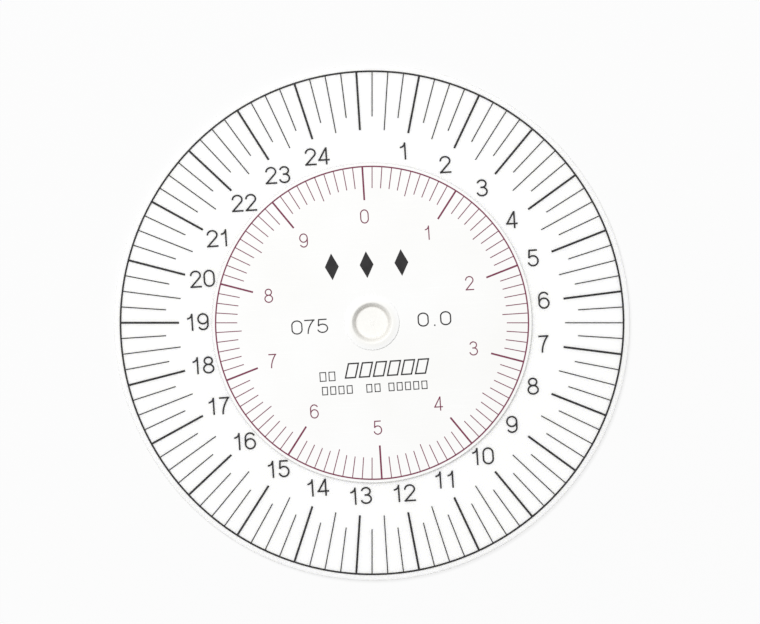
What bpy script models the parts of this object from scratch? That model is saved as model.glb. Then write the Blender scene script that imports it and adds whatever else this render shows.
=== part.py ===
"""Circular slide rule: a base disc and a thin turning disc, held together by a wide snap rivet.

The discs lie flat in XY, with +Z up through the rivet and +Y towards the zero marks.
The origin is on the rivet's axis, in the plane that the base disc rests on.
The base disc and both rivet halves stay still; the inner disc turns about Z.
"""
import math

import bmesh
import bpy

# Driving dimensions, in metres.
CLEARANCE = 0.0001              # left between every two pieces that slide or rest on each other

BASE_RADIUS = 0.050
BASE_THICKNESS = 0.0010
BASE_EDGE_ROUND = 0.00012
INNER_RADIUS = 0.031
INNER_THICKNESS = 0.0003
INNER_EDGE_ROUND = 0.00008

CUP_MOUTH_RADIUS = 0.00385      # the open cup in the rivet's top half, wider at its mouth
CUP_FLOOR_RADIUS = 0.00315
CUP_DEPTH = 0.0010
TUBE_RADIUS = 0.0041            # outside of the cup, below the head
HEAD_RADIUS = 0.00525
HEAD_THICKNESS = 0.0002         # the head thins out from the cup's lip to its rim
HEAD_LIP_RADIUS = 0.0042
HEAD_RIM_THICKNESS = 0.00006

SLEEVE_WALL = 0.0004            # the bottom half's sleeve, which both discs are threaded on
FLANGE_RADIUS = 0.0062
FLANGE_THICKNESS = 0.0003
FLANGE_EDGE_ROUND = 0.0001
FLANGE_POCKET_MARGIN = 0.0003

SNAP_HEIGHT = 0.00012           # how far the snap bead stands out of the cup's outside
SNAP_LENGTH = 0.0003            # from the bead's middle to either end

# Sides of each turned piece, all multiples of four.
BASE_SIDES = 144
INNER_SIDES = 96
RIVET_SIDES = 48
ROUND_STEPS = 3
SHARP_ANGLE = math.radians(35)
MERGE_DISTANCE = 0.000001

# Radii and heights worked out from the driving dimensions.
SLEEVE_BORE_RADIUS = TUBE_RADIUS + CLEARANCE
SLEEVE_RADIUS = SLEEVE_BORE_RADIUS + SLEEVE_WALL
DISC_BORE_RADIUS = SLEEVE_RADIUS + CLEARANCE
FLANGE_POCKET_RADIUS = FLANGE_RADIUS + FLANGE_POCKET_MARGIN

FLANGE_BOTTOM = CLEARANCE       # the flange stays just clear of the table
FLANGE_TOP = FLANGE_BOTTOM + FLANGE_THICKNESS
FLANGE_POCKET_ROOF = FLANGE_TOP + CLEARANCE
INNER_BOTTOM = BASE_THICKNESS + CLEARANCE
INNER_TOP = INNER_BOTTOM + INNER_THICKNESS
HEAD_BOTTOM = INNER_TOP + CLEARANCE
HEAD_TOP = HEAD_BOTTOM + HEAD_THICKNESS
SLEEVE_TOP = HEAD_BOTTOM - CLEARANCE
CUP_FLOOR_TOP = HEAD_TOP - CUP_DEPTH
TUBE_END = FLANGE_TOP + CLEARANCE
SNAP_MIDDLE = TUBE_END + SNAP_LENGTH

# Base colour and roughness of each piece; all are plastic.
LOOKS = {
    "base_disc": ((0.90, 0.90, 0.89), 0.42),
    "inner_disc": ((0.92, 0.92, 0.91), 0.40),
    "pivot_rivet": ((0.88, 0.87, 0.81), 0.50),
    "rivet_socket": ((0.88, 0.87, 0.81), 0.50),
}


def clear_objects():
    for old in list(bpy.data.objects):
        bpy.data.objects.remove(old)


def make_material(name):
    colour, roughness = LOOKS[name]
    material = bpy.data.materials.new(name)
    material.use_nodes = True
    shader = material.node_tree.nodes["Principled BSDF"]
    shader.inputs["Base Color"].default_value = (*colour, 1.0)
    shader.inputs["Roughness"].default_value = roughness
    shader.inputs["Metallic"].default_value = 0.0
    material.diffuse_color = (*colour, 1.0)
    return material


def rounded_corner(radius, height, size, start_degrees):
    """Points of a quarter arc that rounds an outer corner, clockwise from start_degrees.

    radius and height are the sharp corner; the arc bulges towards it.
    """
    middle = math.radians(start_degrees - 45)
    centre_radius = radius - size * math.copysign(1, math.cos(middle))
    centre_height = height - size * math.copysign(1, math.sin(middle))
    points = []
    for step in range(ROUND_STEPS + 1):
        angle = math.radians(start_degrees - 90 * step / ROUND_STEPS)
        points.append((centre_radius + size * math.cos(angle), centre_height + size * math.sin(angle)))
    return points


def turned_piece(name, outline, sides, closed_outline):
    """Spin an outline of (radius, height) points about Z into one closed solid.

    A closed outline makes a ring. An open one starts and ends on the axis.
    """
    shape = bmesh.new()
    verts = [shape.verts.new((radius, 0.0, height)) for radius, height in outline]
    pairs = list(zip(verts, verts[1:]))
    if closed_outline:
        pairs.append((verts[-1], verts[0]))
    edges = [shape.edges.new(pair) for pair in pairs]
    bmesh.ops.spin(
        shape, geom=verts + edges, cent=(0, 0, 0), axis=(0, 0, 1),
        angle=math.tau, steps=sides, use_merge=True,
    )
    bmesh.ops.remove_doubles(shape, verts=shape.verts, dist=MERGE_DISTANCE)
    bmesh.ops.recalc_face_normals(shape, faces=shape.faces)
    mesh = bpy.data.meshes.new(name)
    shape.to_mesh(mesh)
    shape.free()
    mesh.materials.append(make_material(name))
    mesh.shade_smooth()
    mesh.set_sharp_from_angle(angle=SHARP_ANGLE)
    piece = bpy.data.objects.new(name, mesh)
    bpy.context.scene.collection.objects.link(piece)
    return piece


def make_base_disc():
    """A flat disc with a bore for the sleeve, and a shallow pocket underneath for its flange."""
    outline = [(DISC_BORE_RADIUS, BASE_THICKNESS)]
    outline += rounded_corner(BASE_RADIUS, BASE_THICKNESS, BASE_EDGE_ROUND, 90)
    outline += rounded_corner(BASE_RADIUS, 0.0, BASE_EDGE_ROUND, 0)
    outline += [
        (FLANGE_POCKET_RADIUS, 0.0),
        (FLANGE_POCKET_RADIUS, FLANGE_POCKET_ROOF),
        (DISC_BORE_RADIUS, FLANGE_POCKET_ROOF),
    ]
    return turned_piece("base_disc", outline, BASE_SIDES, True)


def make_inner_disc():
    """A thin flat disc with a bore for the sleeve, built at its own underside and then lifted."""
    outline = [(DISC_BORE_RADIUS, INNER_THICKNESS)]
    outline += rounded_corner(INNER_RADIUS, INNER_THICKNESS, INNER_EDGE_ROUND, 90)
    outline += rounded_corner(INNER_RADIUS, 0.0, INNER_EDGE_ROUND, 0)
    outline.append((DISC_BORE_RADIUS, 0.0))
    disc = turned_piece("inner_disc", outline, INNER_SIDES, True)
    disc.location.z = INNER_BOTTOM
    return disc


def make_pivot_rivet():
    """The rivet's top half: an open cup with a flat head round its mouth and a snap bead below."""
    outline = [
        (0.0, CUP_FLOOR_TOP),
        (CUP_FLOOR_RADIUS, CUP_FLOOR_TOP),
        (CUP_MOUTH_RADIUS, HEAD_TOP),
        (HEAD_LIP_RADIUS, HEAD_TOP),
        (HEAD_RADIUS, HEAD_BOTTOM + HEAD_RIM_THICKNESS),
        (HEAD_RADIUS, HEAD_BOTTOM),
        (TUBE_RADIUS, HEAD_BOTTOM),
        (TUBE_RADIUS, SNAP_MIDDLE + SNAP_LENGTH),
        (TUBE_RADIUS + SNAP_HEIGHT, SNAP_MIDDLE),
        (TUBE_RADIUS, TUBE_END),
        (0.0, TUBE_END),
    ]
    return turned_piece("pivot_rivet", outline, RIVET_SIDES, False)


def make_rivet_socket():
    """The rivet's bottom half: a cap with a flange, and a sleeve with a groove for the bead."""
    outline = [
        (0.0, FLANGE_TOP),
        (SLEEVE_BORE_RADIUS, FLANGE_TOP),
        (SLEEVE_BORE_RADIUS + SNAP_HEIGHT, SNAP_MIDDLE),
        (SLEEVE_BORE_RADIUS, SNAP_MIDDLE + SNAP_LENGTH + CLEARANCE),
        (SLEEVE_BORE_RADIUS, SLEEVE_TOP),
        (SLEEVE_RADIUS, SLEEVE_TOP),
        (SLEEVE_RADIUS, FLANGE_TOP),
        (FLANGE_RADIUS, FLANGE_TOP),
    ]
    outline += rounded_corner(FLANGE_RADIUS, FLANGE_BOTTOM, FLANGE_EDGE_ROUND, 0)
    outline.append((0.0, FLANGE_BOTTOM))
    return turned_piece("rivet_socket", outline, RIVET_SIDES, False)


def main():
    clear_objects()
    make_base_disc()
    make_rivet_socket()
    make_inner_disc()
    make_pivot_rivet()


main()
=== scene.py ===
import math
from collections import namedtuple

import bmesh
import bpy
from mathutils import Matrix, Vector


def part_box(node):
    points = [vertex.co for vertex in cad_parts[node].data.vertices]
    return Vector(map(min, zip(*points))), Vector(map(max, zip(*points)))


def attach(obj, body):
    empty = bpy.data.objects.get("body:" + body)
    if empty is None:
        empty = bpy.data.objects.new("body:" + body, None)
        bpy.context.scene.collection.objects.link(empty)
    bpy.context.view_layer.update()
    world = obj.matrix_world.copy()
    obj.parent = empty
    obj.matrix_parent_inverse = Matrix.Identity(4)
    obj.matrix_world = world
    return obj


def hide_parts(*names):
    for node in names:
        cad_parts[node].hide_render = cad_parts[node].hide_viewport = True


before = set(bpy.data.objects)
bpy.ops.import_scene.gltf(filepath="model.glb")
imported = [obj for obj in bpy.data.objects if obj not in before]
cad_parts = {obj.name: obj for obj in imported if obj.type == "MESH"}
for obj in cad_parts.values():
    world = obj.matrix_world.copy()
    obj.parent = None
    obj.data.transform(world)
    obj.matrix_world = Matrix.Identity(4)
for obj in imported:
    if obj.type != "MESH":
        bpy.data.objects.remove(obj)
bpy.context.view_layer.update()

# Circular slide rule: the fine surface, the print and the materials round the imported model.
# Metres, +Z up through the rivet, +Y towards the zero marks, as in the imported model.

# ---------------------------------------------------------------- sizes

MM = 0.001

base_low, base_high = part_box("base_disc")
inner_low, inner_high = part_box("inner_disc")
rivet_low, rivet_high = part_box("pivot_rivet")
socket_low, socket_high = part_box("rivet_socket")

BASE_RADIUS = base_high.x
INNER_RADIUS = inner_high.x
HEAD_RADIUS = rivet_high.x
FLANGE_RADIUS = socket_high.x

CLEARANCE = 0.1 * MM                    # between pieces that slide or rest on each other
CUP_MOUTH_RADIUS = 3.85 * MM
CUP_FLOOR_RADIUS = 3.15 * MM
CUP_DEPTH = 1.0 * MM
CUP_BLEND = 0.16 * MM                   # how far the cup's corners are eased along its floor and wall
TUBE_RADIUS = 4.1 * MM
SLEEVE_BORE_RADIUS = TUBE_RADIUS + CLEARANCE
SLEEVE_RADIUS = SLEEVE_BORE_RADIUS + 0.4 * MM
DISC_BORE_RADIUS = SLEEVE_RADIUS + CLEARANCE
HEAD_THICKNESS = 0.2 * MM
HEAD_LIP_RADIUS = 4.2 * MM
HEAD_RIM_THICKNESS = 0.06 * MM
HEAD_BLEND = 0.17 * MM
FLANGE_THICKNESS = 0.3 * MM
FLANGE_EDGE_ROUND = 0.1 * MM
FLANGE_POCKET_RADIUS = FLANGE_RADIUS + 0.3 * MM
FLANGE_POCKET_DEPTH = 0.5 * MM
SNAP_HEIGHT = 0.12 * MM
SNAP_LENGTH = 0.3 * MM
BASE_EDGE_ROUND = 0.12 * MM
INNER_EDGE_ROUND = 0.08 * MM
POCKET_EDGE_ROUND = 0.06 * MM
FLAT_MARGIN = 0.1 * MM                  # a ring this far in from a rounded edge keeps a flat face flat-shaded

PRINT_DEPTH = 0.03 * MM                 # how far the print's solid reaches into the plastic
PRINT_HEIGHT = 0.018 * MM               # how far the ink stands proud
CIRCLE_HEIGHT = 0.022 * MM              # the printed circles lie over the ends of their ticks

# Both scales have 100 ticks, and their zero marks point along +Y.
TICKS_PER_TURN = 100

OUTER_CIRCLE_RADIUS = BASE_RADIUS - 1.25 * MM
OUTER_CIRCLE_WIDTH = 0.35 * MM
OUTER_WIDE_TICK = 0.40 * MM
OUTER_THIN_TICK = 0.21 * MM
OUTER_LONG_END = 37.4 * MM              # inner ends of the whole and the half divisions
OUTER_SHORT_END = 40.0 * MM             # inner ends of the quarter divisions
OUTER_NUMERAL_RADIUS = 33.75 * MM
OUTER_DIVISIONS = 25

INNER_CIRCLE_RADIUS = INNER_RADIUS - 0.7 * MM
INNER_CIRCLE_WIDTH = 0.265 * MM
INNER_WIDE_TICK = 0.34 * MM
INNER_THIN_TICK = 0.17 * MM
INNER_LONG_END = 23.8 * MM
INNER_MIDDLE_END = 25.3 * MM
INNER_SHORT_END = 26.1 * MM
INNER_NUMERAL_RADIUS = 20.5 * MM
INNER_DIVISIONS = 10

# In the photo the numerals of both scales stand a little left of and above their even circles.
NUMERALS_RIGHT = -0.18 * MM
NUMERALS_UP = 0.15 * MM

# width is how much wider than its plain drawing a digit is; pitch is from one digit's middle to the next.
Lettering = namedtuple("Lettering", "height stroke width pitch")
OUTER_NUMERALS = Lettering(3.35 * MM, 0.33 * MM, 1.22, 2.62 * MM)
INNER_NUMERALS = Lettering(2.75 * MM, 0.215 * MM, 1.12, 2.0 * MM)
LEFT_LEGEND = Lettering(2.75 * MM, 0.24 * MM, 1.5, 2.48 * MM)
RIGHT_LEGEND = Lettering(2.75 * MM, 0.26 * MM, 1.5, 2.18 * MM)
ONE_TUCK = 0.25 * MM                    # a 1 is narrow, so the digit beside it stands this much closer

LEGEND_DISTANCE = 12.1 * MM             # from the rivet to the middle of either small number

LOZENGE_MIDDLES = (-7.1 * MM, -0.35 * MM, 6.4 * MM)
LOZENGE_HEIGHT = 11.3 * MM              # of their middles above the rivet
LOZENGE_HALF_WIDTH = 1.35 * MM
LOZENGE_HALF_HEIGHT = 2.6 * MM

# pitch is from one block's left side to the next one's; slant is how far the tops lean to the right.
BlockRow = namedtuple("BlockRow", "left count pitch width low high slant line")
FINE_LINE = 0.18 * MM
BLOCK_ROWS = [
    BlockRow(-5.95 * MM, 6, 2.72 * MM, 2.2 * MM, -10.5 * MM, -7.5 * MM, 0.75 * MM, 0.28 * MM),
    BlockRow(-10.8 * MM, 2, 1.75 * MM, 1.3 * MM, -10.8 * MM, -8.95 * MM, 0.0, FINE_LINE),
    BlockRow(-10.5 * MM, 4, 1.6 * MM, 1.15 * MM, -13.45 * MM, -11.8 * MM, 0.0, FINE_LINE),
    BlockRow(-1.9 * MM, 2, 1.6 * MM, 1.15 * MM, -13.45 * MM, -11.8 * MM, 0.0, FINE_LINE),
    BlockRow(2.4 * MM, 5, 1.6 * MM, 1.15 * MM, -13.45 * MM, -11.8 * MM, 0.0, FINE_LINE),
]

# How finely curves are divided.
BASE_SIDES = 288
INNER_SIDES = 240
RIVET_SIDES = 96
CIRCLE_SIDES = 360
ROUND_STEPS = 4
EASE_STEPS = 5
MERGE_DISTANCE = 0.0005 * MM
SHARP_ANGLE = math.radians(35)


# ---------------------------------------------------------------- mesh helpers

def mesh_piece(name, shape, material, body):
    """Turn a bmesh into an object that rides on a body and takes the given material."""
    mesh = bpy.data.meshes.new(name)
    shape.to_mesh(mesh)
    shape.free()
    mesh.materials.append(material)
    piece = bpy.data.objects.new(name, mesh)
    bpy.context.scene.collection.objects.link(piece)
    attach(piece, body)
    return piece


def rounded_corner(radius, height, size, start_degrees):
    """Quarter arc that rounds an outer corner of a turned outline, clockwise from start_degrees."""
    middle = math.radians(start_degrees - 45)
    centre_radius = radius - size * math.copysign(1, math.cos(middle))
    centre_height = height - size * math.copysign(1, math.sin(middle))
    points = []
    for step in range(ROUND_STEPS + 1):
        angle = math.radians(start_degrees - 90 * step / ROUND_STEPS)
        points.append((centre_radius + size * math.cos(angle), centre_height + size * math.sin(angle)))
    return points


def turned_piece(name, outline, sides, closed_outline, material, body):
    """Spin an outline of (radius, height) points about Z; an open outline ends on the axis."""
    shape = bmesh.new()
    verts = [shape.verts.new((radius, 0.0, height)) for radius, height in outline]
    pairs = list(zip(verts, verts[1:]))
    if closed_outline:
        pairs.append((verts[-1], verts[0]))
    edges = [shape.edges.new(pair) for pair in pairs]
    bmesh.ops.spin(
        shape, geom=verts + edges, cent=(0, 0, 0), axis=(0, 0, 1),
        angle=math.tau, steps=sides, use_merge=True,
    )
    bmesh.ops.remove_doubles(shape, verts=shape.verts, dist=MERGE_DISTANCE)
    bmesh.ops.recalc_face_normals(shape, faces=shape.faces)
    piece = mesh_piece(name, shape, material, body)
    piece.data.shade_smooth()
    piece.data.set_sharp_from_angle(angle=SHARP_ANGLE)
    return piece


def strip_sides(points, index, half_width, looped):
    """The two edge points of a strip at one of its points, mitred where the line bends."""
    here = Vector(points[index])
    count = len(points)
    arrives = here - Vector(points[index - 1]) if looped or index > 0 else None
    leaves = Vector(points[(index + 1) % count]) - here if looped or index < count - 1 else None
    arrives = (arrives or leaves).normalized()
    leaves = (leaves or arrives).normalized()
    along = (arrives + leaves).normalized()
    across = Vector((-along.y, along.x)) * (half_width / along.dot(arrives))
    return here + across, here - across


def add_strip(shape, points, width, low, high, looped=False):
    """Add a closed flat strip of even width along (x, y) points, from height low to height high."""
    rows = []
    for index in range(len(points)):
        left, right = strip_sides(points, index, width / 2, looped)
        corners = [(*left, low), (*right, low), (*right, high), (*left, high)]
        rows.append([shape.verts.new(corner) for corner in corners])
    pairs = list(zip(rows, rows[1:]))
    if looped:
        pairs.append((rows[-1], rows[0]))
    else:
        shape.faces.new(rows[0])
        shape.faces.new(reversed(rows[-1]))
    for here, there in pairs:
        for side in range(4):
            following = (side + 1) % 4
            shape.faces.new((here[following], here[side], there[side], there[following]))


def circle_points(radius, sides):
    return [
        (radius * math.sin(math.tau * side / sides), radius * math.cos(math.tau * side / sides))
        for side in range(sides)
    ]


# ---------------------------------------------------------------- digits

# A digit is drawn in its own units: its pen line runs from y = 0 to y = 1, centred on x = 0.
DIGIT_ARC_STEPS = 16
LOOP_START = 84                         # degrees; a little off the top, so that no two strokes share a point


def arc(x, y, x_radius, y_radius, start, end, steps=DIGIT_ARC_STEPS):
    """Points of an elliptical arc; degrees run anticlockwise from the right."""
    angles = [math.radians(start + (end - start) * step / steps) for step in range(steps + 1)]
    return [(x + x_radius * math.cos(angle), y + y_radius * math.sin(angle)) for angle in angles]


def loop(x, y, x_radius, y_radius):
    return arc(x, y, x_radius, y_radius, LOOP_START, LOOP_START + 360, 2 * DIGIT_ARC_STEPS)[:-1]


def digit_strokes(digit, pen):
    """The pen lines of a digit as (points, looped). pen is half the stroke's width."""
    if digit == "0":
        return [(arc(0, 0.68, 0.255, 0.32, 0, 180) + arc(0, 0.32, 0.255, 0.32, 180, 360), True)]
    if digit == "1":
        return [([(0.07, -pen), (0.07, 1 + pen)], False), (arc(-0.19, 1.02, 0.25, 0.28, -90, -10), False)]
    if digit == "2":
        bow = arc(0, 0.735, 0.25, 0.265, 185, -38)
        return [(bow + [(-0.24, 0.02)], False), ([(-0.25 - pen, 0), (0.25 + pen, 0)], False)]
    if digit == "3":
        return [
            (arc(-0.01, 0.765, 0.225, 0.235, 170, -92), False),
            (arc(-0.01, 0.27, 0.26, 0.27, 92, -170), False),
            ([(-0.09, 0.535), (0.02, 0.535)], False),
        ]
    if digit == "4":
        return [
            ([(0.12, -pen), (0.12, 1 + pen)], False),
            ([(0.12 - pen / 3, 1), (-0.27, 0.25)], False),
            ([(-0.27 - pen, 0.25), (0.29, 0.25)], False),
        ]
    if digit == "5":
        return [
            ([(0.23, 1), (-0.18, 1), (-0.215, 0.50)], False),
            (arc(-0.005, 0.32, 0.26, 0.32, 145, -165), False),
        ]
    if digit == "6":
        back = arc(0, 0.70, 0.25, 0.30, 25, 180) + [(-0.255, 0.32)]
        return [(back, False), (loop(0, 0.315, 0.255, 0.315), True)]
    if digit == "7":
        shares = [step / DIGIT_ARC_STEPS for step in range(DIGIT_ARC_STEPS + 1)]
        stem = [(-0.10 + 0.32 * share ** 2, (1 + pen) * share - pen) for share in shares]
        return [([(-0.27, 1), (0.27, 1)], False), (stem, False)]
    if digit == "8":
        return [(loop(0, 0.77, 0.21, 0.23), True), (loop(0, 0.27, 0.26, 0.27), True)]
    if digit == "9":
        return [([(-x, 1 - y) for x, y in points], looped) for points, looped in digit_strokes("6", pen)]
    return [([(0, -pen), (0, pen * 1.2)], False)]      # the decimal point


def union_of(meshes):
    """Join overlapping solids into one clean closed mesh."""
    strokes = [bpy.data.objects.new("stroke", mesh) for mesh in meshes]
    for stroke in strokes:
        bpy.context.scene.collection.objects.link(stroke)
    first = strokes[0]
    for other in strokes[1:]:
        join = first.modifiers.new("join", "BOOLEAN")
        join.operation = "UNION"
        join.object = other
    bpy.context.view_layer.update()
    joined = bpy.data.meshes.new_from_object(first.evaluated_get(bpy.context.evaluated_depsgraph_get()))
    for stroke in strokes:
        bpy.data.objects.remove(stroke)
    return joined


def digit_mesh(digit, stroke, width):
    """One digit, its pen line one unit high and its solid one unit thick; stroke is in the same units."""
    meshes = []
    for points, looped in digit_strokes(digit, stroke / 2):
        shape = bmesh.new()
        add_strip(shape, [(x * width, y) for x, y in points], stroke, 0.0, 1.0, looped)
        mesh = bpy.data.meshes.new("stroke")
        shape.to_mesh(mesh)
        shape.free()
        meshes.append(mesh)
    return union_of(meshes)


def digit_set(lettering, wanted="0123456789"):
    stroke = lettering.stroke / (lettering.height - lettering.stroke)
    return {digit: digit_mesh(digit, stroke, lettering.width) for digit in wanted}


def add_number(shape, digits, lettering, text, x, y, face):
    """Add a number centred on (x, y), upright along +Y, printed on the face at a height."""
    size = lettering.height - lettering.stroke
    scale = Matrix.Diagonal((size, size, PRINT_DEPTH + PRINT_HEIGHT, 1.0))
    pitch = lettering.pitch - ONE_TUCK if "1" in text else lettering.pitch
    for place, digit in enumerate(text):
        digit_x = x + (place - (len(text) - 1) / 2) * pitch
        copy = digits[digit].copy()
        copy.transform(Matrix.Translation((digit_x, y - size / 2, face - PRINT_DEPTH)) @ scale)
        shape.from_mesh(copy)
        bpy.data.meshes.remove(copy)


# ---------------------------------------------------------------- materials

def new_material(name):
    material = bpy.data.materials.new(name)
    material.use_nodes = True
    nodes = material.node_tree.nodes
    return material, nodes, material.node_tree.links, nodes["Principled BSDF"]


def noise(nodes, links, coordinates, scale, detail, roughness=0.5):
    texture = nodes.new("ShaderNodeTexNoise")
    texture.inputs["Scale"].default_value = scale
    texture.inputs["Detail"].default_value = detail
    texture.inputs["Roughness"].default_value = roughness
    links.new(coordinates, texture.inputs["Vector"])
    return texture.outputs["Fac"]


def ramp(nodes, links, value, stops):
    """A colour ramp over a value; stops are (position, colour or grey level)."""
    node = nodes.new("ShaderNodeValToRGB")
    elements = node.color_ramp.elements
    for index, (position, colour) in enumerate(stops):
        element = elements[index] if index < 2 else elements.new(position)
        element.position = position
        element.color = (*colour, 1.0) if isinstance(colour, tuple) else (colour, colour, colour, 1.0)
    links.new(value, node.inputs["Fac"])
    return node.outputs["Color"]


def between(nodes, links, value, low, high):
    """Map a 0 to 1 value onto the range low to high."""
    node = nodes.new("ShaderNodeMapRange")
    node.inputs["To Min"].default_value = low
    node.inputs["To Max"].default_value = high
    links.new(value, node.inputs["Value"])
    return node.outputs["Result"]


def mixed(nodes, links, factor, first, second):
    """Mix two colours, or colour outputs, by a 0 to 1 factor."""
    node = nodes.new("ShaderNodeMix")
    node.data_type = "RGBA"
    links.new(factor, node.inputs["Factor"])
    for socket, colour in ((node.inputs[6], first), (node.inputs[7], second)):
        if isinstance(colour, tuple):
            socket.default_value = (*colour, 1.0)
        else:
            links.new(colour, socket)
    return node.outputs[2]


def bump(nodes, links, height, distance, strength, after=None):
    node = nodes.new("ShaderNodeBump")
    node.inputs["Distance"].default_value = distance
    node.inputs["Strength"].default_value = strength
    links.new(height, node.inputs["Height"])
    if after is not None:
        links.new(after, node.inputs["Normal"])
    return node.outputs["Normal"]


def object_coordinates(nodes):
    return nodes.new("ShaderNodeTexCoord").outputs["Object"]


def stretched(nodes, links, coordinates, turn_degrees, scale):
    node = nodes.new("ShaderNodeMapping")
    node.inputs["Rotation"].default_value = (0, 0, math.radians(turn_degrees))
    node.inputs["Scale"].default_value = scale
    links.new(coordinates, node.inputs["Vector"])
    return node.outputs["Vector"]


def distance_from_axis(nodes, links, coordinates):
    flatten = nodes.new("ShaderNodeVectorMath")
    flatten.operation = "MULTIPLY"
    flatten.inputs[1].default_value = (1, 1, 0)
    links.new(coordinates, flatten.inputs[0])
    length = nodes.new("ShaderNodeVectorMath")
    length.operation = "LENGTH"
    links.new(flatten.outputs["Vector"], length.inputs[0])
    return length.outputs["Value"]


def radial_rise(nodes, links, coordinates, start, end):
    """0 nearer the axis than start, rising to 1 at end and beyond."""
    node = nodes.new("ShaderNodeMapRange")
    node.inputs["From Min"].default_value = start
    node.inputs["From Max"].default_value = end
    links.new(distance_from_axis(nodes, links, coordinates), node.inputs["Value"])
    return node.outputs["Result"]


def less(nodes, links, first, second):
    node = nodes.new("ShaderNodeMath")
    node.operation = "SUBTRACT"
    links.new(first, node.inputs[0])
    links.new(second, node.inputs[1])
    return node.outputs["Value"]


def sheet_plastic(name, colour, aged, radius, scratch_turn, translucency):
    """Satin white rigid sheet: cloudy whiteness, fine grain, hairline rubs, and a dulled cut rim.

    translucency is how much of the light spreads inside the sheet, which a thin one hardly does.
    """
    material, nodes, links, shader = new_material(name)
    place = object_coordinates(nodes)
    clouds = noise(nodes, links, place, 55, 4)
    grain = noise(nodes, links, place, 9000, 2)
    rubs = noise(nodes, links, stretched(nodes, links, place, scratch_turn, (90, 4200, 90)), 1.0, 2)
    rub_lines = ramp(nodes, links, rubs, [(0.60, 0.0), (0.74, 1.0)])
    rim_starts = radius - 0.12 * MM
    rim_full = radius - 0.02 * MM
    rim = radial_rise(nodes, links, place, rim_starts, rim_full)

    face = mixed(nodes, links, ramp(nodes, links, clouds, [(0.35, 0.0), (0.75, 1.0)]), colour, aged)
    worn_rim = tuple(0.78 * channel for channel in aged)
    links.new(mixed(nodes, links, rim, face, worn_rim), shader.inputs["Base Color"])
    roughness = mixed(nodes, links, rub_lines, (0.36,) * 3, (0.58,) * 3)
    links.new(roughness, shader.inputs["Roughness"])
    fine = bump(nodes, links, grain, 0.006 * MM, 0.6)
    links.new(bump(nodes, links, rub_lines, 0.004 * MM, 0.6, fine), shader.inputs["Normal"])
    shader.inputs["IOR"].default_value = 1.53
    shader.inputs["Subsurface Weight"].default_value = translucency
    shader.inputs["Subsurface Scale"].default_value = 1.6 * MM
    shader.inputs["Subsurface Radius"].default_value = (1.0, 1.0, 0.95)
    return material


def printing_ink(name, solid, worn):
    """Screen-printed ink: slightly uneven cover, with a faint tooth and pinholes towards the plastic."""
    material, nodes, links, shader = new_material(name)
    place = object_coordinates(nodes)
    cover = noise(nodes, links, place, 700, 4, 0.6)
    specks = noise(nodes, links, place, 14000, 2)
    uneven = ramp(nodes, links, cover, [(0.35, 0.0), (0.80, 0.55)])
    pinholes = ramp(nodes, links, specks, [(0.62, 0.0), (0.80, 0.5)])
    body = mixed(nodes, links, uneven, solid, worn)
    paler = tuple(min(1.0, 1.6 * channel + 0.03) for channel in worn)
    links.new(mixed(nodes, links, pinholes, body, paler), shader.inputs["Base Color"])
    links.new(between(nodes, links, specks, 0.45, 0.70), shader.inputs["Roughness"])
    shader.inputs["Specular IOR Level"].default_value = 0.25
    links.new(bump(nodes, links, specks, 0.004 * MM, 0.5), shader.inputs["Normal"])
    return material


CREAM = (0.93, 0.925, 0.90)
DEEPER_CREAM = (0.885, 0.875, 0.84)
THIN_NYLON = (0.94, 0.94, 0.935)
# painted shade: the dark colour laid into the cup's corner, where shade falls in the recess
CUP_CORNER_SHADE = (0.66, 0.64, 0.60)


def moulded_nylon(name, has_cup):
    """Cream nylon with a fine spark-eroded grain and a soft mottle.

    The half with the cup has painted shade darkening the cup's corner, and is whiter where its head thins
    out.
    """
    material, nodes, links, shader = new_material(name)
    place = object_coordinates(nodes)
    mottle = noise(nodes, links, place, 600, 4)
    grain = noise(nodes, links, place, 11000, 2)
    tone = mixed(nodes, links, mottle, CREAM, DEEPER_CREAM)
    if has_cup:
        thin = radial_rise(nodes, links, place, CUP_MOUTH_RADIUS, HEAD_RADIUS - 0.2 * MM)
        whiter = mixed(nodes, links, thin, tone, THIN_NYLON)
        # painted shade: a band that darkens the cup's wall near its floor, where the recess lies in shade
        foot = radial_rise(nodes, links, place, CUP_FLOOR_RADIUS - 0.3 * MM, CUP_FLOOR_RADIUS)
        lip = radial_rise(nodes, links, place, CUP_FLOOR_RADIUS + 0.2 * MM, CUP_MOUTH_RADIUS)
        painted_shade = ramp(nodes, links, less(nodes, links, foot, lip), [(0.0, 0.0), (1.0, 0.7)])
        tone = mixed(nodes, links, painted_shade, whiter, CUP_CORNER_SHADE)
    links.new(tone, shader.inputs["Base Color"])
    links.new(between(nodes, links, mottle, 0.36, 0.56), shader.inputs["Roughness"])
    links.new(bump(nodes, links, grain, 0.006 * MM, 0.6), shader.inputs["Normal"])
    return material


def table_top(name):
    """Plain pale matt table, very slightly uneven, and partly self-lit to keep the rule's shadow faint."""
    material, nodes, links, shader = new_material(name)
    place = object_coordinates(nodes)
    drift = noise(nodes, links, place, 6, 3)
    fibre = noise(nodes, links, place, 2500, 2)
    grey = mixed(nodes, links, drift, (0.16, 0.16, 0.16), (0.15, 0.15, 0.151))
    links.new(grey, shader.inputs["Base Color"])
    links.new(bump(nodes, links, fibre, 0.01 * MM, 0.3), shader.inputs["Normal"])
    shader.inputs["Roughness"].default_value = 0.85
    shader.inputs["Specular IOR Level"].default_value = 0.0
    shader.inputs["Emission Color"].default_value = (1.0, 1.0, 1.0, 1.0)
    shader.inputs["Emission Strength"].default_value = 0.81
    return material


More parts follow.
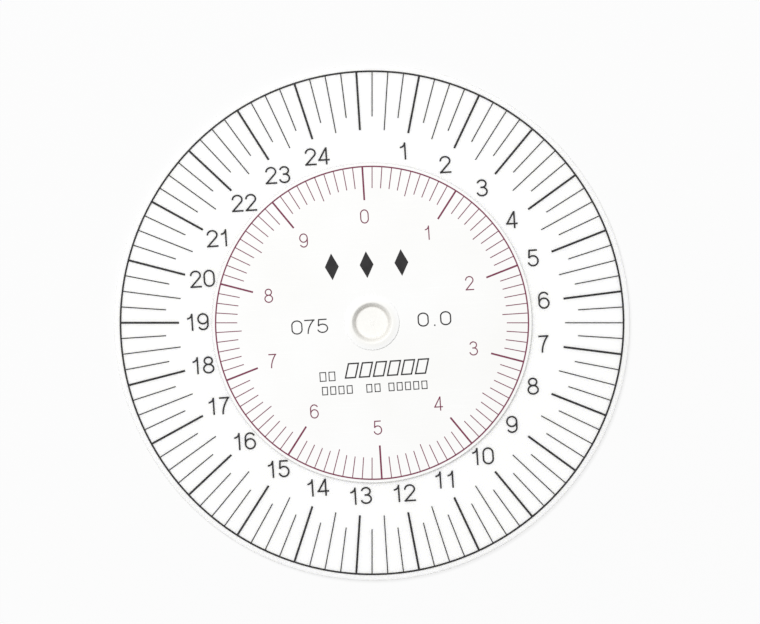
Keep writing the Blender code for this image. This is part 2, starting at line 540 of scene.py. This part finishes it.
BLACK_INK = printing_ink("black_ink", (0.016, 0.015, 0.016), (0.05, 0.048, 0.05))
CRIMSON_INK = printing_ink("crimson_ink", (0.18, 0.022, 0.062), (0.25, 0.06, 0.115))
BASE_PLASTIC = sheet_plastic(
    "base_sheet", (0.93, 0.93, 0.925), (0.90, 0.897, 0.882), BASE_RADIUS,
    scratch_turn=24, translucency=0.92,
)
INNER_PLASTIC = sheet_plastic(
    "inner_sheet", (0.935, 0.935, 0.93), (0.91, 0.907, 0.893), INNER_RADIUS,
    scratch_turn=-52, translucency=0.0,
)
CUP_NYLON = moulded_nylon("cup_nylon", True)
SOCKET_NYLON = moulded_nylon("socket_nylon", False)


# ---------------------------------------------------------------- discs and rivet

def make_base_disc():
    """The still disc, with its edges rounded and the pocket for the socket's flange underneath."""
    top = base_high.z
    pocket_roof = base_low.z + FLANGE_POCKET_DEPTH
    flat_radius = BASE_RADIUS - BASE_EDGE_ROUND - FLAT_MARGIN
    outline = [(DISC_BORE_RADIUS, top), (flat_radius, top)]
    outline += rounded_corner(BASE_RADIUS, top, BASE_EDGE_ROUND, 90)
    outline += rounded_corner(BASE_RADIUS, base_low.z, BASE_EDGE_ROUND, 0)
    outline += [
        (flat_radius, base_low.z),
        (FLANGE_POCKET_RADIUS + POCKET_EDGE_ROUND, base_low.z),
        (FLANGE_POCKET_RADIUS, base_low.z + POCKET_EDGE_ROUND),
        (FLANGE_POCKET_RADIUS, pocket_roof),
        (DISC_BORE_RADIUS, pocket_roof),
    ]
    disc = turned_piece(
        "base_sheet_disc", outline, BASE_SIDES, True, BASE_PLASTIC, "base",
    )
    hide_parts("base_disc")


def make_inner_disc():
    """The thin turning disc, with its edges rounded."""
    flat_radius = INNER_RADIUS - INNER_EDGE_ROUND - FLAT_MARGIN
    outline = [(DISC_BORE_RADIUS, inner_high.z), (flat_radius, inner_high.z)]
    outline += rounded_corner(INNER_RADIUS, inner_high.z, INNER_EDGE_ROUND, 90)
    outline += rounded_corner(INNER_RADIUS, inner_low.z, INNER_EDGE_ROUND, 0)
    outline += [(flat_radius, inner_low.z), (DISC_BORE_RADIUS, inner_low.z)]
    disc = turned_piece(
        "inner_sheet_disc", outline, INNER_SIDES, True, INNER_PLASTIC, "dial",
    )
    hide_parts("inner_disc")


def eased_corner(before, corner, after, reach):
    """Points of a curve that eases a corner, starting and ending reach away from it."""
    corner = Vector(corner)
    first = corner + (Vector(before) - corner).normalized() * reach
    last = corner + (Vector(after) - corner).normalized() * reach
    points = []
    for step in range(EASE_STEPS + 1):
        share = step / EASE_STEPS
        points.append(tuple(first.lerp(corner, share).lerp(corner.lerp(last, share), share)))
    return points


def make_rivet():
    """The pivot's top half: an open sloping cup with a flat head, and a trimmed gate mark in its floor."""
    top = rivet_high.z
    floor = top - CUP_DEPTH
    head_bottom = top - HEAD_THICKNESS
    end = rivet_low.z
    snap_middle = end + SNAP_LENGTH
    gate_radius = 0.5 * MM
    gate_height = 0.05 * MM
    floor_corner = (CUP_FLOOR_RADIUS, floor)
    mouth_corner = (CUP_MOUTH_RADIUS, top)
    lip_corner = (HEAD_LIP_RADIUS, top)
    rim_corner = (HEAD_RADIUS, head_bottom + HEAD_RIM_THICKNESS)
    outline = [
        (0.0, floor + gate_height),
        (gate_radius - gate_height, floor + gate_height),
        (gate_radius, floor),
        (CUP_FLOOR_RADIUS - CUP_BLEND - FLAT_MARGIN, floor),
    ]
    outline += eased_corner((0.0, floor), floor_corner, mouth_corner, CUP_BLEND)
    outline += eased_corner(floor_corner, mouth_corner, lip_corner, CUP_BLEND)
    outline += eased_corner(mouth_corner, lip_corner, rim_corner, HEAD_BLEND)
    outline += [
        rim_corner,
        (HEAD_RADIUS, head_bottom),
        (TUBE_RADIUS, head_bottom),
        (TUBE_RADIUS, snap_middle + SNAP_LENGTH),
        (TUBE_RADIUS + SNAP_HEIGHT, snap_middle),
        (TUBE_RADIUS, end),
        (0.0, end),
    ]
    rivet = turned_piece(
        "rivet_cup_and_head", outline, RIVET_SIDES, False, CUP_NYLON, "base",
    )
    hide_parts("pivot_rivet")


def make_socket():
    """The pivot's bottom half: the sleeve, and a flange with a ring and a gate dimple underneath."""
    bottom = socket_low.z
    flange_top = bottom + FLANGE_THICKNESS
    sleeve_top = socket_high.z
    snap_middle = rivet_low.z + SNAP_LENGTH
    ring_radius = 4.4 * MM
    ring_half_width = 0.15 * MM
    ring_depth = 0.08 * MM
    dimple_radius = 0.8 * MM
    dimple_depth = 0.1 * MM
    outline = [
        (0.0, flange_top),
        (SLEEVE_BORE_RADIUS, flange_top),
        (SLEEVE_BORE_RADIUS + SNAP_HEIGHT, snap_middle),
        (SLEEVE_BORE_RADIUS, snap_middle + SNAP_LENGTH + CLEARANCE),
        (SLEEVE_BORE_RADIUS, sleeve_top),
        (SLEEVE_RADIUS, sleeve_top),
        (SLEEVE_RADIUS, flange_top),
        (FLANGE_RADIUS, flange_top),
    ]
    outline += rounded_corner(FLANGE_RADIUS, bottom, FLANGE_EDGE_ROUND, 0)
    outline += [
        (FLANGE_RADIUS - FLANGE_EDGE_ROUND - FLAT_MARGIN, bottom),
        (ring_radius + ring_half_width + FLAT_MARGIN, bottom),
        (ring_radius + ring_half_width, bottom),
        (ring_radius, bottom + ring_depth),
        (ring_radius - ring_half_width, bottom),
        (ring_radius - ring_half_width - FLAT_MARGIN, bottom),
        (dimple_radius + FLAT_MARGIN, bottom),
        (dimple_radius, bottom),
        (dimple_radius * 0.6, bottom + dimple_depth * 0.8),
        (0.0, bottom + dimple_depth),
    ]
    socket = turned_piece(
        "rivet_sleeve_and_flange", outline, RIVET_SIDES, False, SOCKET_NYLON, "base",
    )
    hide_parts("rivet_socket")


# ---------------------------------------------------------------- print

def clock_place(radius, share):
    """The point at a radius and a share of a turn, clockwise from +Y."""
    angle = math.tau * share
    return radius * math.sin(angle), radius * math.cos(angle)


def add_tick(shape, share, inner_radius, outer_radius, width, face):
    line = [clock_place(inner_radius, share), clock_place(outer_radius, share)]
    add_strip(shape, line, width, face - PRINT_DEPTH, face + PRINT_HEIGHT)


def print_circle(name, radius, width, face, material, body):
    shape = bmesh.new()
    points = circle_points(radius, CIRCLE_SIDES)
    add_strip(shape, points, width, face - PRINT_DEPTH, face + CIRCLE_HEIGHT, looped=True)
    bmesh.ops.recalc_face_normals(shape, faces=shape.faces)
    mesh_piece(name, shape, material, body)


def print_outer_scale():
    """Black scale of the base disc: 25 numbered divisions in quarters."""
    face = base_high.z
    print_circle(
        "outer_circle_print", OUTER_CIRCLE_RADIUS, OUTER_CIRCLE_WIDTH, face,
        BLACK_INK, "base",
    )

    ticks = bmesh.new()
    outer_end = OUTER_CIRCLE_RADIUS - OUTER_CIRCLE_WIDTH / 4
    for tick in range(TICKS_PER_TURN):
        width = OUTER_WIDE_TICK if tick % 4 == 0 else OUTER_THIN_TICK
        inner_end = OUTER_LONG_END if tick % 2 == 0 else OUTER_SHORT_END
        add_tick(ticks, tick / TICKS_PER_TURN, inner_end, outer_end, width, face)
    bmesh.ops.recalc_face_normals(ticks, faces=ticks.faces)
    mesh_piece("outer_ticks_print", ticks, BLACK_INK, "base")

    digits = digit_set(OUTER_NUMERALS)
    numerals = bmesh.new()
    for number in range(1, OUTER_DIVISIONS):
        x, y = clock_place(OUTER_NUMERAL_RADIUS, number / OUTER_DIVISIONS)
        add_number(numerals, digits, OUTER_NUMERALS, str(number), x + NUMERALS_RIGHT, y + NUMERALS_UP, face)
    mesh_piece("outer_numerals_print", numerals, BLACK_INK, "base")


def print_inner_scale():
    """Crimson scale of the inner disc: ten numbered divisions in tenths."""
    face = inner_high.z
    print_circle(
        "inner_circle_print", INNER_CIRCLE_RADIUS, INNER_CIRCLE_WIDTH, face,
        CRIMSON_INK, "dial",
    )

    ticks = bmesh.new()
    outer_end = INNER_CIRCLE_RADIUS - INNER_CIRCLE_WIDTH / 4
    for tick in range(TICKS_PER_TURN):
        width = INNER_WIDE_TICK if tick % 10 == 0 else INNER_THIN_TICK
        inner_end = INNER_SHORT_END
        if tick % 5 == 0:
            inner_end = INNER_MIDDLE_END
        if tick % 10 == 0:
            inner_end = INNER_LONG_END
        add_tick(ticks, tick / TICKS_PER_TURN, inner_end, outer_end, width, face)
    bmesh.ops.recalc_face_normals(ticks, faces=ticks.faces)
    mesh_piece("inner_ticks_print", ticks, CRIMSON_INK, "dial")

    digits = digit_set(INNER_NUMERALS)
    numerals = bmesh.new()
    for number in range(INNER_DIVISIONS):
        x, y = clock_place(INNER_NUMERAL_RADIUS, number / INNER_DIVISIONS)
        add_number(numerals, digits, INNER_NUMERALS, str(number), x + NUMERALS_RIGHT, y + NUMERALS_UP, face)
    mesh_piece("inner_numerals_print", numerals, CRIMSON_INK, "dial")


def print_legends():
    """The two small black numbers beside the rivet."""
    face = inner_high.z
    legends = bmesh.new()
    add_number(legends, digit_set(LEFT_LEGEND, "057"), LEFT_LEGEND, "075", -LEGEND_DISTANCE, 0.0, face)
    add_number(legends, digit_set(RIGHT_LEGEND, "0."), RIGHT_LEGEND, "0.0", LEGEND_DISTANCE, 0.0, face)
    mesh_piece("legends_print", legends, BLACK_INK, "dial")


def add_polygon(shape, corners, face):
    """Add a flat printed polygon of (x, y) corners."""
    low = [shape.verts.new((x, y, face - PRINT_DEPTH)) for x, y in corners]
    high = [shape.verts.new((x, y, face + PRINT_HEIGHT)) for x, y in corners]
    shape.faces.new(reversed(low))
    shape.faces.new(high)
    count = len(corners)
    for index in range(count):
        following = (index + 1) % count
        shape.faces.new((low[index], low[following], high[following], high[index]))


def print_lozenges():
    """Three plain lozenges above the rivet."""
    y = LOZENGE_HEIGHT
    marks = bmesh.new()
    for x in LOZENGE_MIDDLES:
        corners = [
            (x - LOZENGE_HALF_WIDTH, y),
            (x, y - LOZENGE_HALF_HEIGHT),
            (x + LOZENGE_HALF_WIDTH, y),
            (x, y + LOZENGE_HALF_HEIGHT),
        ]
        add_polygon(marks, corners, inner_high.z)
    bmesh.ops.recalc_face_normals(marks, faces=marks.faces)
    mesh_piece("lozenge_print", marks, BLACK_INK, "dial")


def add_blocks(shape, row, face):
    """Add a row of hollow blocks, each drawn with an even line."""
    inset = row.line / 2
    for block in range(row.count):
        x = row.left + block * row.pitch
        corners = [
            (x + inset, row.low + inset),
            (x + row.width - inset, row.low + inset),
            (x + row.width - inset + row.slant, row.high - inset),
            (x + inset + row.slant, row.high - inset),
        ]
        add_strip(shape, corners, row.line, face - PRINT_DEPTH, face + PRINT_HEIGHT, looped=True)


def print_rows():
    """Two lines of plain hollow blocks below the rivet, where such a rule has its maker's words."""
    rows = bmesh.new()
    for row in BLOCK_ROWS:
        add_blocks(rows, row, inner_high.z)
    bmesh.ops.recalc_face_normals(rows, faces=rows.faces)
    mesh_piece("block_rows_print", rows, BLACK_INK, "dial")


# ---------------------------------------------------------------- stage

TABLE_HALF_SIDE = 3.0
TABLE_GAP = 0.02 * MM                   # the table is this far below the rule
WORLD_STRENGTH = 0.40
KEY_PLACE = (-1.14, 1.64, 3.46)
KEY_SIDE = 1.6
KEY_POWER = 126


def make_table():
    shape = bmesh.new()
    bmesh.ops.create_grid(shape, x_segments=8, y_segments=8, size=TABLE_HALF_SIDE)
    mesh = bpy.data.meshes.new("table")
    shape.to_mesh(mesh)
    shape.free()
    mesh.materials.append(table_top("table_top"))
    table = bpy.data.objects.new("table", mesh)
    table.location.z = base_low.z - TABLE_GAP
    bpy.context.scene.collection.objects.link(table)


def add_softbox(name, place, side, power):
    """A square area light that points at the rivet."""
    data = bpy.data.lights.new(name, "AREA")
    data.shape = "SQUARE"
    data.size = side
    data.energy = power
    light = bpy.data.objects.new(name, data)
    light.location = place
    light.rotation_euler = (-Vector(place)).to_track_quat("-Z", "Y").to_euler()
    bpy.context.scene.collection.objects.link(light)


def make_lights():
    """Even, bright, nearly shadowless light, with a little more from the far left."""
    world = bpy.data.worlds.new("studio")
    world.use_nodes = True
    background = world.node_tree.nodes["Background"]
    background.inputs["Color"].default_value = (1, 1, 1, 1)
    background.inputs["Strength"].default_value = WORLD_STRENGTH
    bpy.context.scene.world = world
    add_softbox("key_softbox", KEY_PLACE, KEY_SIDE, KEY_POWER)
    bpy.context.scene.view_settings.view_transform = "Standard"


def make_camera():
    """Straight above, through a long lens; the rule lies turned a little to the left in the picture."""
    height = 0.6
    span = 147.3 * MM                   # what the picture spans from side to side at the base disc's face
    turn = math.radians(-3.6)
    right, up = 1.54 * MM, 2.09 * MM     # from the rivet to the picture's middle
    data = bpy.data.cameras.new("camera")
    data.lens = data.sensor_width * height / span
    data.clip_start = 0.01
    data.clip_end = 20
    camera = bpy.data.objects.new("camera", data)
    aim = Matrix.Rotation(turn, 3, "Z") @ Vector((right, up, 0))
    camera.location = (aim.x, aim.y, base_high.z + height)
    camera.rotation_euler = (0, 0, turn)
    bpy.context.scene.collection.objects.link(camera)
    bpy.context.scene.camera = camera


make_camera()
make_base_disc()
make_inner_disc()
make_rivet()
make_socket()
print_outer_scale()
print_inner_scale()
print_legends()
print_lozenges()
print_rows()
make_table()
make_lights()
